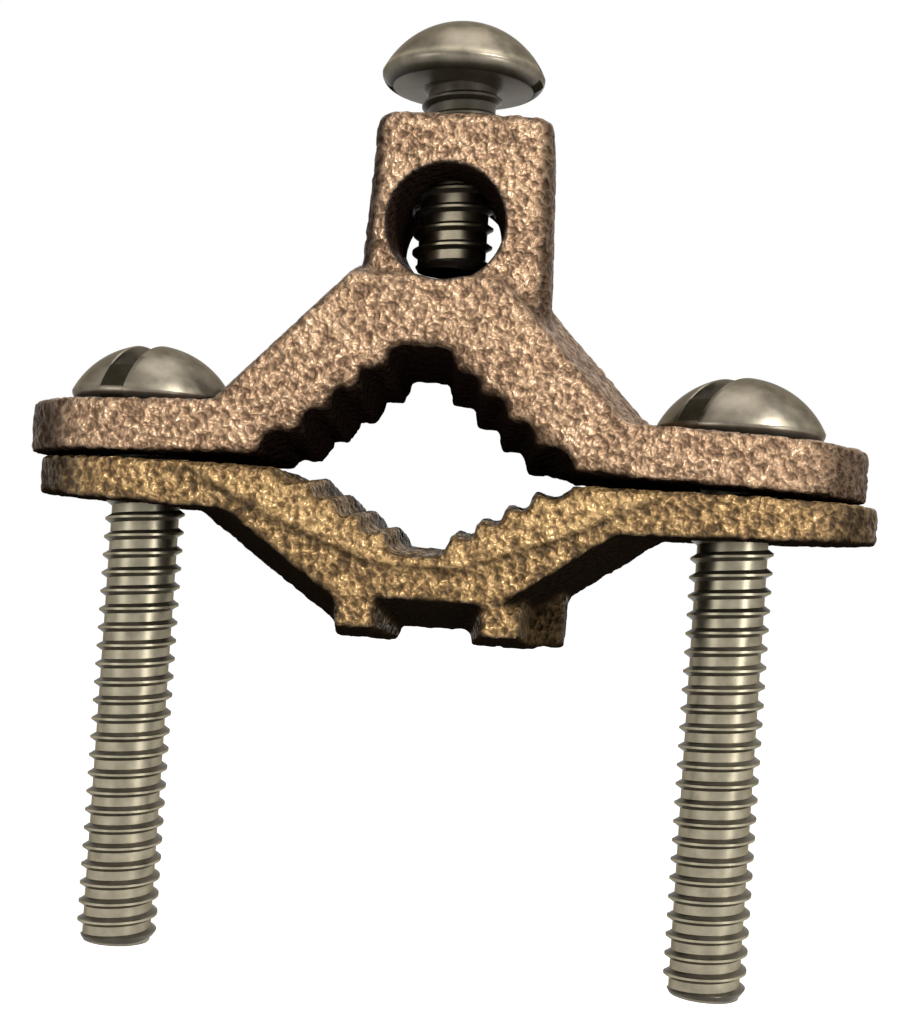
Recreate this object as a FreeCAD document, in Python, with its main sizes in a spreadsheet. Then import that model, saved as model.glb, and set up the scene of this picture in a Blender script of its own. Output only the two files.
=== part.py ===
import FreeCAD, Part

from collections import namedtuple
import math
import os

import Sketcher

# Ground clamp for water pipe: two cast bronze jaws with toothed vees, two slotted clamp screws
# and a wire terminal on top of the upper jaw.
# Millimetres. The origin is on the pipe's axis, in the plane where the jaws meet: +X runs to the
# right-hand clamp screw, +Y along the pipe, and +Z up to the wire terminal.

# Driving dimensions: alias, value, meaning. An outline is given where the casting is widest, at
# half its depth; its draft then leans the sides inwards to the front and back faces.
SIZES = (
    ("screw_spacing", 40.6, "between the axes of the two clamp screws"),
    ("jaw_depth", 17.0, "front face to back face of both jaws; the ears' ends are rounded to it"),
    ("jaw_gap", 0.37, "between the ears at the screw axes"),
    ("ear_droop", 1.7, "degrees that the upper ears slope down, and the lower undersides up"),
    ("upper_ear_thickness", 3.55, "upper ear"),
    ("lower_ear_thickness", 2.85, "lower ear at the screw axis"),
    ("ear_inset", 0.2, "how far inside the screws' axes the rounded ends are centred"),
    ("upper_ear_shift", 0.2, "how far the upper ears' ends stand to the right"),
    ("upper_shift", -0.9, "how far the arch and its vee stand to the right of the screws' middle"),
    ("upper_draft", 13.0, "degrees of draft on the outside of the upper arch"),
    ("arch_top_half", 5.65, "half the width of the arch's flat top"),
    ("arch_height", 14.7, "top of the arch"),
    ("arch_slope", 46.0, "degrees, outer sides of the arch"),
    ("upper_vee_height", 6.7, "flat roof of the upper vee, at half the depth"),
    ("upper_vee_roof_half", 1.4, "half the width of that roof"),
    ("upper_vee_slope", 39.3, "degrees, flanks of the upper vee"),
    ("upper_mouth_half", 9.5, "half the width of the upper vee where it opens"),
    ("upper_vee_draft", 10.8, "degrees of draft inside the upper vee"),
    ("lower_shift", 1.0, "how far the lower ears' ends stand to the right"),
    ("trough_shift", -0.3, "how far the trough and its vee stand to the right"),
    ("lower_draft", 14.0, "degrees of draft on the outside of the lower trough"),
    ("trough_floor_half", 6.1, "half the width of the trough's flat bottom"),
    ("trough_depth", 10.1, "bottom of the trough"),
    ("trough_slope", 35.0, "degrees, outer sides of the trough"),
    ("lower_vee_depth", 4.5, "flat floor of the lower vee, at half the depth"),
    ("lower_vee_floor_half", 1.6, "half the width of that floor"),
    ("lower_vee_slope", 30.0, "degrees, flanks of the lower vee"),
    ("lower_vee_draft", 4.0, "degrees of draft inside the lower vee"),
    ("lip_proud", 0.35, "how far the lip round the lower vee stands out of each face"),
    ("lip_floor", 1.25, "how far the lip reaches below the vee's floor, and beside it"),
    ("lip_mouth", 3.3, "how far the lip reaches below the vee's mouth"),
    ("lip_reach", 5.8, "lip, beyond the vee's mouth along the ears"),
    ("lip_end", 0.4, "how far the ends of the lip reach below the ears' top"),
    ("foot_shift", 0.62, "how far the feet stand to the right"),
    ("foot_inner", 2.4, "inner side of each foot, from their middle"),
    ("foot_width", 4.55, "foot"),
    ("foot_bottom", 11.1, "underside of the feet"),
    ("foot_draft", 7.0, "degrees of draft on the feet"),
    ("foot_inset", 0.25, "front end of a foot, behind the jaw's face"),
    ("gate_reach", 9.55, "far side of the gate's stub beside the right foot, from the middle"),
    ("gate_bottom", 10.7, "underside of the gate's stub"),
    ("gate_half_width", 1.9, "gate's stub"),
    ("gate_half_depth", 3.0, "gate's stub"),
    ("gate_corner", 1.0, "radius of the stub's upright corners"),
    ("teeth_per_flank", 4, "teeth on each flank of each vee"),
    ("tooth_height", 0.95, "tooth, square to its flank"),
    ("tooth_land", 0.35, "flat crest of a tooth"),
    ("tooth_rim", 0.4, "plain rim in front of and behind the upper teeth"),
    ("thread_major", 5.5, "outside diameter of the three screws' threads"),
    ("thread_clearance", 0.05, "between a thread's crests and its tapped hole, each side"),
    ("head_diameter", 11.25, "round screw heads"),
    ("head_height", 4.5, "round screw heads"),
    ("head_edge", 0.9, "upright edge below the dome of a head"),
    ("slot_width", 1.7, "driver slot"),
    ("slot_depth", 1.9, "driver slot, from the top of the dome"),
    ("tip_chamfer", 0.9, "end of each screw"),
    ("clamp_screw_length", 37.1, "under the head, one inch and a half less its tolerance"),
    ("clamp_screw_left_turn", -16.0, "degrees that the left head's slot is turned"),
    ("clamp_screw_right_turn", -44.0, "degrees, right head's slot"),
    ("terminal_screw_turn", 82.0, "degrees, terminal head's slot"),
    ("clearance_hole", 6.9, "holes through the upper ears"),
    ("spot_face_depth", 0.1, "machined seat under a clamp screw's head"),
    ("spot_face_margin", 0.4, "seat, beyond the head all round"),
    ("post_shift", 0.8, "how far the post stands to the right of its screw"),
    ("post_half_width", 6.4, "terminal post at its root"),
    ("post_half_depth", 7.1, "terminal post at its root"),
    ("post_corner", 2.0, "radius of the post's upright corners"),
    ("post_draft", 2.4, "degrees of draft on the post"),
    ("post_height", 24.0, "top of the post"),
    ("post_edge", 1.1, "rounding of the post's top edge"),
    ("wire_hole", 6.7, "hole for the ground wire, at its narrowest in the middle"),
    ("wire_hole_draft", 4.5, "degrees by which the wire hole widens to the front and back"),
    ("wire_hole_height", 16.55, "axis of that hole"),
    ("wire_floor_gap", 1.2, "terminal screw's tip above the lowest line of the round wire hole"),
    ("terminal_screw_length", 12.7, "under the head, half an inch"),
)

# Places worked out from the sizes above, as the sheet's formulas name them.
SCREW_X = "Sizes.screw_spacing / 2"
HALF_DEPTH = "Sizes.jaw_depth / 2"
EAR_END = "(Sizes.screw_spacing / 2 + Sizes.jaw_depth)"
DROOP = "tan(Sizes.ear_droop * 1deg)"
UPPER_ROOT = "(Sizes.jaw_gap + Sizes.upper_ear_thickness * 0.85)"
LOWER_ROOT = "(-Sizes.lower_ear_thickness * 0.95)"
SEAT_HEIGHT = "(Sizes.jaw_gap + Sizes.upper_ear_thickness - Sizes.spot_face_depth)"
LIP_DEPTH = "(Sizes.jaw_depth + 2 * Sizes.lip_proud)"
TAPPED_RADIUS = "Sizes.thread_major / 2 + Sizes.thread_clearance"
TERMINAL_HEAD = (
    "(Sizes.wire_hole_height - Sizes.wire_hole / 2 + Sizes.wire_floor_gap"
    " + Sizes.terminal_screw_length)"
)

# Each screw's name, the start of its length's alias, and its place under the head.
SCREWS = (
    ("clamp_screw_left", "clamp", "-" + SCREW_X, SEAT_HEIGHT),
    ("clamp_screw_right", "clamp", SCREW_X, SEAT_HEIGHT),
    ("terminal_screw", "terminal", "0", TERMINAL_HEAD),
)

# A mound of a casting or a vee in it, as it is at half the depth: the line it is drawn about, 1 if
# its tip is above its root and -1 if below, the half width and height of both, and its angles.
Form = namedtuple("Form", "middle up tip root slope draft")


def new_sheet(doc):
    """The spreadsheet of driving dimensions."""
    sheet = doc.addObject("Spreadsheet::Sheet", "Sizes")
    for row, (alias, value, meaning) in enumerate(SIZES, start=1):
        sheet.set("A%d" % row, meaning)
        sheet.set("B%d" % row, str(value))
        sheet.setAlias("B%d" % row, alias)
    doc.recompute()
    return sheet


def new_body(doc, label):
    """An empty body with the sub-part's name."""
    body = doc.addObject("PartDesign::Body", label)
    body.Label = label
    return body


def new_sketch(body, name, role, offset=None):
    """A sketch on one of the body's own planes, lifted along its normal by a formula."""
    sketch = body.newObject("Sketcher::SketchObject", name)
    plane = [f for f in body.Origin.OriginFeatures if f.Role == role][0]
    sketch.AttachmentSupport = [(plane, "")]
    sketch.MapMode = "FlatFace"
    if offset:
        sketch.setExpression("AttachmentOffset.Base.z", offset)
    return sketch


def place(sketch, geometry, end, x, y):
    """Pins a point of a sketch to two formulas."""
    drawn = sketch.getPoint(geometry, end)
    for kind, value, formula in (("DistanceX", drawn.x, x), ("DistanceY", drawn.y, y)):
        index = sketch.addConstraint(Sketcher.Constraint(kind, -1, 1, geometry, end, value))
        sketch.setExpression("Constraints[%d]" % index, formula)


def draw_polygon(sketch, points):
    """A closed outline through points given as pairs of formulas."""
    count = len(points)
    first = sketch.GeometryCount
    start = [
        FreeCAD.Vector(math.cos(2 * math.pi * i / count), math.sin(2 * math.pi * i / count), 0)
        for i in range(count)
    ]
    for i in range(count):
        sketch.addGeometry(Part.LineSegment(start[i], start[(i + 1) % count]), False)
    for i in range(count):
        line = first + i
        following = first + (i + 1) % count
        sketch.addConstraint(Sketcher.Constraint("Coincident", line, 2, following, 1))
    for i, (x, y) in enumerate(points):
        place(sketch, first + i, 1, x, y)


def draw_symmetric(sketch, right_side, middle="0"):
    """A polygon from the points of its right-hand side, mirrored about a line x = middle."""
    right = [("%s + %s" % (middle, x), y) for x, y in right_side]
    left = [("%s - %s" % (middle, x), y) for x, y in reversed(right_side)]
    draw_polygon(sketch, right + left)


def draw_circle(sketch, x, y, radius):
    """A circle placed and sized by formulas."""
    circle = sketch.addGeometry(Part.Circle(FreeCAD.Vector(1, 1, 0), FreeCAD.Vector(0, 0, 1), 1), False)
    place(sketch, circle, 3, x, y)
    index = sketch.addConstraint(Sketcher.Constraint("Radius", circle, 1.0))
    sketch.setExpression("Constraints[%d]" % index, radius)


def draw_rounded_box(sketch, half_x, half_y, corner, middle="0"):
    """A rectangle with four equal rounded corners, about a point on the x axis."""
    lines = []
    arcs = []
    for i in range(4):
        turn = FreeCAD.Rotation(FreeCAD.Vector(0, 0, 1), 90 * i)
        start = turn.multVec(FreeCAD.Vector(3, -2, 0))
        finish = turn.multVec(FreeCAD.Vector(3, 2, 0))
        centre = turn.multVec(FreeCAD.Vector(2, 2, 0))
        lines.append(sketch.addGeometry(Part.LineSegment(start, finish), False))
        circle = Part.Circle(centre, FreeCAD.Vector(0, 0, 1), 1)
        begin = math.radians(90 * i)
        arcs.append(sketch.addGeometry(Part.ArcOfCircle(circle, begin, begin + math.pi / 2), False))
    for i in range(4):
        sketch.addConstraint(Sketcher.Constraint("Tangent", lines[i], 2, arcs[i], 1))
        sketch.addConstraint(Sketcher.Constraint("Tangent", arcs[i], 2, lines[(i + 1) % 4], 1))
        kind = "Vertical" if i % 2 == 0 else "Horizontal"
        sketch.addConstraint(Sketcher.Constraint(kind, lines[i]))
    for other in arcs[1:]:
        sketch.addConstraint(Sketcher.Constraint("Equal", arcs[0], other))
    index = sketch.addConstraint(Sketcher.Constraint("Radius", arcs[0], 1.0))
    sketch.setExpression("Constraints[%d]" % index, corner)
    sides = (
        ("DistanceX", 3.0, "%s + %s" % (middle, half_x)),
        ("DistanceY", 3.0, half_y),
        ("DistanceX", -3.0, "%s - %s" % (middle, half_x)),
        ("DistanceY", -3.0, "-(%s)" % half_y),
    )
    for line, (kind, value, formula) in zip(lines, sides):
        index = sketch.addConstraint(Sketcher.Constraint(kind, -1, 1, line, 1, value))
        sketch.setExpression("Constraints[%d]" % index, formula)


def draw_slot(sketch, half_spacing, radius, middle="0"):
    """Two half circles about points on the x axis, joined by straight sides."""
    up = FreeCAD.Vector(0, 0, 1)
    right = Part.ArcOfCircle(
        Part.Circle(FreeCAD.Vector(20, 0, 0), up, 8), -math.pi / 2, math.pi / 2
    )
    left = Part.ArcOfCircle(
        Part.Circle(FreeCAD.Vector(-20, 0, 0), up, 8), math.pi / 2, 3 * math.pi / 2
    )
    outline = (
        right,
        Part.LineSegment(FreeCAD.Vector(20, 8, 0), FreeCAD.Vector(-20, 8, 0)),
        left,
        Part.LineSegment(FreeCAD.Vector(-20, -8, 0), FreeCAD.Vector(20, -8, 0)),
    )
    pieces = [sketch.addGeometry(piece, False) for piece in outline]
    for i in range(4):
        following = pieces[(i + 1) % 4]
        sketch.addConstraint(Sketcher.Constraint("Tangent", pieces[i], 2, following, 1))
    for arc, sign in ((pieces[0], "+"), (pieces[2], "-")):
        place(sketch, arc, 3, "%s %s %s" % (middle, sign, half_spacing), "0")
        index = sketch.addConstraint(Sketcher.Constraint("Radius", arc, 8.0))
        sketch.setExpression("Constraints[%d]" % index, radius)


def pad(body, sketch, name, length, draft=None, symmetric=True, reverse=False):
    """Adds material from a sketch, with both sides leaning in by the draft."""
    feature = body.newObject("PartDesign::Pad", name)
    feature.Profile = sketch
    feature.SideType = "Symmetric" if symmetric else "One side"
    feature.Reversed = reverse
    feature.setExpression("Length", length)
    if draft:
        feature.setExpression("TaperAngle", "-" + draft)
    body.Document.recompute()
    return feature


def cut(body, sketch, name, length=None, symmetric=True, reverse=False, draft=None):
    """Removes material from a sketch: a length, or right through, with a draft if given."""
    before = body.Shape.Volume
    feature = body.newObject("PartDesign::Pocket", name)
    feature.Profile = sketch
    feature.SideType = "Symmetric" if symmetric else "One side"
    feature.Reversed = reverse
    if length:
        feature.setExpression("Length", length)
    else:
        feature.Type = "ThroughAll"
    if draft:
        feature.setExpression("TaperAngle", draft)
    body.Document.recompute()
    if body.Shape.Volume >= before:
        raise RuntimeError("%s of %s removed nothing" % (name, body.Label))
    return feature


def round_edges(body, name, radius, wanted):
    """Rounds every edge of the body that the test picks."""
    base = body.Tip
    names = ["Edge%d" % (i + 1) for i, edge in enumerate(base.Shape.Edges) if wanted(edge)]
    feature = body.newObject("PartDesign::Fillet", name)
    feature.Base = (base, names)
    feature.setExpression("Radius", radius)
    body.Document.recompute()
    return feature


def trim_ears(body, middle):
    """Rounds both ends of a jaw in plan, to half circles about points near the screw axes."""
    sketch = new_sketch(body, "EarEnds", "XY_Plane")
    draw_slot(sketch, "(%s - Sizes.ear_inset)" % SCREW_X, HALF_DEPTH, middle)
    reach = "%s * 2" % EAR_END
    draw_polygon(
        sketch,
        (("-" + reach, "-" + reach), (reach, "-" + reach), (reach, reach), ("-" + reach, reach)),
    )
    cut(body, sketch, "EarEndsCut")


def run_from_parting(feature, form, side, way, growth):
    """Makes a feature run forwards or back from the parting plane, leaning by the form's draft.

    The direction is the mitre of the drafted flank and the drafted flat beside it, so that one
    outline moved along it gives both of them, larger for a growth of 1 and smaller for -1.
    """
    lean = "%d * tan(%s * 1deg)" % (growth, form.draft)
    feature.UseCustomVector = True
    feature.AlongSketchNormal = True
    feature.setExpression("Direction.x", "%d * %s * tan(%s * 0.5deg)" % (side, lean, form.slope))
    feature.setExpression("Direction.y", str(way))
    feature.setExpression("Direction.z", "%d * %s" % (form.up, lean))


def pad_mound(body, mound, reach):
    """A mound with a flat top, padded one side at a time, forwards and back."""
    for side, name in ((1, "Right"), (-1, "Left")):
        sketch = new_sketch(body, name + "MoundOutline", "XZ_Plane")
        outer = [("%s + %d * %s" % (mound.middle, side, x), z) for x, z in (mound.root, mound.tip)]
        draw_polygon(
            sketch, ((mound.middle, mound.root[1]), outer[0], outer[1], (mound.middle, mound.tip[1]))
        )
        for way, word in ((-1, "Front"), (1, "Back")):
            feature = pad(body, sketch, name + word + "Mound", reach, symmetric=False)
            run_from_parting(feature, mound, side, way, -1)


def cut_vee(body, vee, reach):
    """A vee with a flat roof or floor, cut one side at a time, forwards and back."""
    roof_half, roof_height = vee.tip
    mouth_half, mouth_height = vee.root
    open_end = "%d * Sizes.jaw_depth" % -vee.up
    for side, name in ((1, "Right"), (-1, "Left")):
        sketch = new_sketch(body, name + "VeeOutline", "XZ_Plane")
        across = vee.middle + " + %d * %s"
        draw_polygon(
            sketch,
            (
                (across % (-side, roof_half), open_end),
                (across % (side, mouth_half), open_end),
                (across % (side, mouth_half), mouth_height),
                (across % (side, roof_half), roof_height),
                (across % (-side, roof_half), roof_height),
            ),
        )
        for way, word in ((-1, "Front"), (1, "Back")):
            pocket = cut(body, sketch, name + word + "Vee", reach, symmetric=False)
            run_from_parting(pocket, vee, side, way, 1)


def add_teeth(body, vee, reach):
    """Teeth on both flanks: a ridge each way from the parting plane, repeated along the flank.

    The sketch's own x axis runs down the flank from the roof or floor of the vee, so that the
    ridge, drawn once at its start, is patterned along that axis.
    """
    roof_half, roof_height = vee.tip
    pitch = "((%s - %s - Sizes.tooth_height) / cos(%s * 1deg) / Sizes.teeth_per_flank)" % (
        vee.root[0], roof_half, vee.slope,
    )
    for side, name in ((1, "Right"), (-1, "Left")):
        sketch = new_sketch(body, name + "Tooth", "XZ_Plane")
        sketch.setExpression("AttachmentOffset.Base.x", "%s + %d * %s" % (vee.middle, side, roof_half))
        sketch.setExpression("AttachmentOffset.Base.y", roof_height)
        turn = "%d * %s * 1deg" % (-vee.up * side, vee.slope)
        if side < 0:
            turn = "180deg + " + turn
        sketch.AttachmentOffset = FreeCAD.Placement(
            FreeCAD.Vector(), FreeCAD.Rotation(FreeCAD.Vector(0, 0, 1), 1)
        )
        sketch.setExpression("AttachmentOffset.Rotation.Angle", turn)
        height = "%d * Sizes.tooth_height" % (-vee.up * side)
        root = "%d * Sizes.tooth_height / 2" % (vee.up * side)
        draw_polygon(
            sketch,
            (
                ("0", "0"),
                ("(%s - Sizes.tooth_land) / 2" % pitch, height),
                ("(%s + Sizes.tooth_land) / 2" % pitch, height),
                (pitch, "0"),
                (pitch, root),
                ("0", root),
            ),
        )
        ridges = []
        for way, word in ((-1, "Front"), (1, "Back")):
            ridge = pad(body, sketch, name + word + "Ridge", reach, symmetric=False)
            run_from_parting(ridge, vee, side, way, 1)
            ridges.append(ridge)
        pattern = body.newObject("PartDesign::LinearPattern", name + "Teeth")
        pattern.Originals = ridges
        pattern.Direction = (sketch, ["H_Axis"])
        pattern.Mode = "Spacing"
        pattern.setExpression("Offset", pitch)
        pattern.setExpression("Occurrences", "Sizes.teeth_per_flank")
        body.Tip = pattern
        body.Document.recompute()


def make_upper_jaw(doc, sheet):
    """Arch with a toothed vee, drooping ears and the terminal post, as one casting."""
    body = new_body(doc, "upper_jaw")
    rise = "(Sizes.arch_height - %s)" % UPPER_ROOT
    foot_half = "(Sizes.arch_top_half + %s / tan(Sizes.arch_slope * 1deg))" % rise
    arch = Form(
        middle="Sizes.upper_shift",
        up=1,
        tip=("Sizes.arch_top_half", "Sizes.arch_height"),
        root=(foot_half, UPPER_ROOT),
        slope="Sizes.arch_slope",
        draft="Sizes.upper_draft",
    )
    pad_mound(body, arch, HALF_DEPTH)

    ears = new_sketch(body, "EarOutline", "XZ_Plane")
    middle_bottom = "Sizes.jaw_gap + %s * %s" % (SCREW_X, DROOP)
    end_bottom = "Sizes.jaw_gap - (%s - %s) * %s" % (EAR_END, SCREW_X, DROOP)
    draw_polygon(
        ears,
        (
            ("-" + EAR_END, end_bottom),
            ("0", middle_bottom),
            (EAR_END, end_bottom),
            (EAR_END, end_bottom + " + Sizes.upper_ear_thickness"),
            ("0", middle_bottom + " + Sizes.upper_ear_thickness"),
            ("-" + EAR_END, end_bottom + " + Sizes.upper_ear_thickness"),
        ),
    )
    pad(body, ears, "Ears", "Sizes.jaw_depth")
    trim_ears(body, "Sizes.upper_ear_shift")

    drop = "(Sizes.upper_mouth_half - Sizes.upper_vee_roof_half) * tan(Sizes.upper_vee_slope * 1deg)"
    vee = Form(
        middle="Sizes.upper_shift",
        up=1,
        tip=("Sizes.upper_vee_roof_half", "Sizes.upper_vee_height"),
        root=("Sizes.upper_mouth_half", "(Sizes.upper_vee_height - %s)" % drop),
        slope="Sizes.upper_vee_slope",
        draft="Sizes.upper_vee_draft",
    )
    cut_vee(body, vee, HALF_DEPTH)
    add_teeth(body, vee, "(%s - Sizes.tooth_rim)" % HALF_DEPTH)

    post = new_sketch(
        body, "PostOutline", "XY_Plane", "(Sizes.upper_vee_height + Sizes.arch_height) / 2"
    )
    draw_rounded_box(
        post,
        "Sizes.post_half_width",
        "Sizes.post_half_depth",
        "Sizes.post_corner",
        "Sizes.post_shift",
    )
    length = "Sizes.post_height - (Sizes.upper_vee_height + Sizes.arch_height) / 2"
    pad(body, post, "Post", length, "Sizes.post_draft", symmetric=False)
    top = sheet.post_height
    round_edges(
        body, "PostRounding", "Sizes.post_edge", lambda edge: abs(edge.BoundBox.ZMin - top) < 1e-6
    )

    wire = new_sketch(body, "WireHoleOutline", "XZ_Plane")
    draw_circle(wire, "0", "Sizes.wire_hole_height", "Sizes.wire_hole / 2")
    cut(body, wire, "WireHole", "Sizes.jaw_depth", draft="-Sizes.wire_hole_draft")
    tapped = new_sketch(body, "TappedHoleOutline", "XY_Plane", "Sizes.wire_hole_height")
    draw_circle(tapped, "0", "0", TAPPED_RADIUS)
    cut(body, tapped, "TappedHole", "Sizes.post_height", symmetric=False, reverse=True)

    for side, name in ((1, "Right"), (-1, "Left")):
        middle = "%s * %s" % (side, SCREW_X)
        hole = new_sketch(body, name + "HoleOutline", "XY_Plane")
        draw_circle(hole, middle, "0", "Sizes.clearance_hole / 2")
        cut(body, hole, name + "Hole")
        seat = new_sketch(body, name + "SeatOutline", "XY_Plane", SEAT_HEIGHT)
        draw_circle(seat, middle, "0", "Sizes.head_diameter / 2 + Sizes.spot_face_margin")
        cut(body, seat, name + "Seat", "Sizes.arch_height", symmetric=False, reverse=True)
    return body


def make_lower_jaw(doc, sheet):
    """Trough with a toothed vee, a proud lip round it, two feet, the stub of the casting's gate and
    tapped ears, as one casting."""
    body = new_body(doc, "lower_jaw")
    shift = "Sizes.trough_shift"
    fall = "(Sizes.trough_depth + %s)" % LOWER_ROOT
    root_half = "(Sizes.trough_floor_half + %s / tan(Sizes.trough_slope * 1deg))" % fall
    trough = Form(
        middle=shift,
        up=-1,
        tip=("Sizes.trough_floor_half", "-Sizes.trough_depth"),
        root=(root_half, LOWER_ROOT),
        slope="Sizes.trough_slope",
        draft="Sizes.lower_draft",
    )
    pad_mound(body, trough, HALF_DEPTH)

    ears = new_sketch(body, "EarOutline", "XZ_Plane")
    middle_under = "-Sizes.lower_ear_thickness - %s * %s" % (SCREW_X, DROOP)
    end_under = "-Sizes.lower_ear_thickness + (%s - %s) * %s" % (EAR_END, SCREW_X, DROOP)
    draw_polygon(
        ears,
        (
            ("-" + EAR_END, end_under),
            (shift, middle_under),
            (EAR_END, end_under),
            (EAR_END, "0"),
            ("-" + EAR_END, "0"),
        ),
    )
    pad(body, ears, "Ears", "Sizes.jaw_depth")
    trim_ears(body, "Sizes.lower_shift")

    lip = new_sketch(body, "LipOutline", "XZ_Plane")
    slope = "(Sizes.lower_vee_slope * 1deg)"
    mouth = "(Sizes.lower_vee_floor_half + Sizes.lower_vee_depth / tan%s)" % slope
    draw_symmetric(
        lip,
        (
            (
                "(Sizes.lower_vee_floor_half + Sizes.lip_floor)",
                "-(Sizes.lower_vee_depth + Sizes.lip_floor)",
            ),
            (mouth, "-Sizes.lip_mouth"),
            ("(%s + Sizes.lip_reach)" % mouth, "-Sizes.lip_end"),
        ),
        shift,
    )
    pad(body, lip, "Lip", LIP_DEPTH)

    vee = Form(
        middle=shift,
        up=-1,
        tip=("Sizes.lower_vee_floor_half", "-Sizes.lower_vee_depth"),
        root=(mouth, "0"),
        slope="Sizes.lower_vee_slope",
        draft="Sizes.lower_vee_draft",
    )
    cut_vee(body, vee, LIP_DEPTH + " / 2")
    add_teeth(body, vee, LIP_DEPTH + " / 2")

    for side, name in ((1, "Right"), (-1, "Left")):
        foot = new_sketch(body, name + "FootOutline", "XZ_Plane")
        middle = "Sizes.foot_shift + %d * (Sizes.foot_inner + Sizes.foot_width / 2)" % side
        inside = "-(Sizes.lower_vee_depth + Sizes.trough_depth) / 2"
        draw_symmetric(
            foot,
            (("Sizes.foot_width / 2", "-Sizes.foot_bottom"), ("Sizes.foot_width / 2", inside)),
            middle,
        )
        pad(body, foot, name + "Foot", "Sizes.jaw_depth - 2 * Sizes.foot_inset", "Sizes.foot_draft")
        hole = new_sketch(body, name + "HoleOutline", "XY_Plane")
        draw_circle(hole, "%s * %s" % (side, SCREW_X), "0", TAPPED_RADIUS)
        cut(body, hole, name + "TappedHole")

    gate = new_sketch(body, "GateOutline", "XY_Plane", "-Sizes.gate_bottom")
    draw_rounded_box(
        gate,
        "Sizes.gate_half_width",
        "Sizes.gate_half_depth",
        "Sizes.gate_corner",
        "(Sizes.gate_reach - Sizes.gate_half_width)",
    )
    height = "Sizes.gate_bottom - (Sizes.trough_depth + Sizes.lower_vee_depth) / 2"
    pad(body, gate, "Gate", height, symmetric=False)
    return body


def make_screw(doc, label, length, x, z):
    """A round-head slotted screw; its body stands on the underside of the head."""
    body = new_body(doc, label)
    body.setExpression("Placement.Base.x", x)
    body.setExpression("Placement.Base.z", z)
    body.Placement = FreeCAD.Placement(
        FreeCAD.Vector(), FreeCAD.Rotation(FreeCAD.Vector(0, 0, 1), 1)
    )
    body.setExpression("Placement.Rotation.Angle", "Sizes.%s_turn * 1deg" % label)
    profile = new_sketch(body, "HalfProfile", "XZ_Plane")
    radius = "Sizes.thread_major / 2"
    head = "Sizes.head_diameter / 2"
    points = (
        ("0", "Sizes.head_height"),
        ("0", "-%s" % length),
        ("%s - Sizes.tip_chamfer / 2" % radius, "-%s" % length),
        (radius, "Sizes.tip_chamfer - %s" % length),
        (radius, "0"),
        (head, "0"),
        (head, "Sizes.head_edge"),
    )
    start = ((0, 4), (0, -20), (2, -20), (3, -19), (3, 0), (5.6, 0), (5.6, 0.5))
    drawn = [FreeCAD.Vector(px, pz, 0) for px, pz in start]
    for i in range(len(points) - 1):
        profile.addGeometry(Part.LineSegment(drawn[i], drawn[i + 1]), False)
    for i in range(len(points) - 2):
        profile.addConstraint(Sketcher.Constraint("Coincident", i, 2, i + 1, 1))
    for i, (px, pz) in enumerate(points[:-1]):
        place(profile, i, 1, px, pz)
    place(profile, len(points) - 2, 2, *points[-1])
    dome = Part.Arc(drawn[-1], FreeCAD.Vector(4, 3, 0), drawn[0])
    arc = profile.addGeometry(dome, False)
    profile.addConstraint(Sketcher.Constraint("Coincident", arc, 1, len(points) - 2, 2))
    profile.addConstraint(Sketcher.Constraint("Coincident", arc, 2, 0, 1))
    profile.addConstraint(Sketcher.Constraint("PointOnObject", arc, 3, -2))
    turned = body.newObject("PartDesign::Revolution", "Turned")
    turned.Profile = profile
    turned.ReferenceAxis = (profile, ["V_Axis"])
    turned.Angle = 360.0
    doc.recompute()
    slot = new_sketch(body, "SlotOutline", "XZ_Plane")
    draw_symmetric(
        slot,
        (
            ("Sizes.slot_width / 2", "Sizes.head_height - Sizes.slot_depth"),
            ("Sizes.slot_width / 2", "Sizes.head_height + Sizes.slot_depth"),
        ),
    )
    cut(body, slot, "Slot")
    return body


def check(doc, parts):
    """Stops if any object of the document failed, or a sub-part isn't one sound solid."""
    for item in doc.Objects:
        if "Invalid" in item.State or "Error" in item.State:
            raise RuntimeError("%s is %s" % (item.Label, item.State))
    for part in parts:
        shape = part.Shape
        if shape.isNull() or not shape.isValid() or len(shape.Solids) != 1:
            raise RuntimeError("%s is not one valid solid" % part.Label)


doc = FreeCAD.newDocument("ground_clamp")
sheet = new_sheet(doc)
parts = [make_upper_jaw(doc, sheet), make_lower_jaw(doc, sheet)]
for label, name, x, z in SCREWS:
    length = "Sizes.%s_screw_length" % name
    parts.append(make_screw(doc, label, length, x, z))
doc.recompute()
check(doc, parts)
os.makedirs("parts", exist_ok=True)
for part in parts:
    part.Shape.exportStep("parts/%s.step" % part.Label)
    print(part.Label, round(part.Shape.Volume, 2), part.Shape.BoundBox)
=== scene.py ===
import bmesh
import bpy
import numpy as np
from mathutils import Matrix, Vector


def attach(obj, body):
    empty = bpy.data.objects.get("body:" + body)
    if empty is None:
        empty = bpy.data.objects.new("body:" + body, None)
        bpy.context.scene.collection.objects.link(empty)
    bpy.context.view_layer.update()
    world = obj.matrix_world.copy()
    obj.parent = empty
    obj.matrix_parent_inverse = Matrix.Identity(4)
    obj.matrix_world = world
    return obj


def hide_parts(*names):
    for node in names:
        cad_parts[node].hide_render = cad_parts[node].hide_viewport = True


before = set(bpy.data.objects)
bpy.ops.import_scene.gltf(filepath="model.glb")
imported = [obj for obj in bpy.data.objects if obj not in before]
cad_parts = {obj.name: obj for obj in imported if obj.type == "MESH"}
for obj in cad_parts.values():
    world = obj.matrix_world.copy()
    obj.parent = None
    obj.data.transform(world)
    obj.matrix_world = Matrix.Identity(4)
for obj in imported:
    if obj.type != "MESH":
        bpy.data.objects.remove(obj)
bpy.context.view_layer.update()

scene = bpy.context.scene

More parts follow.
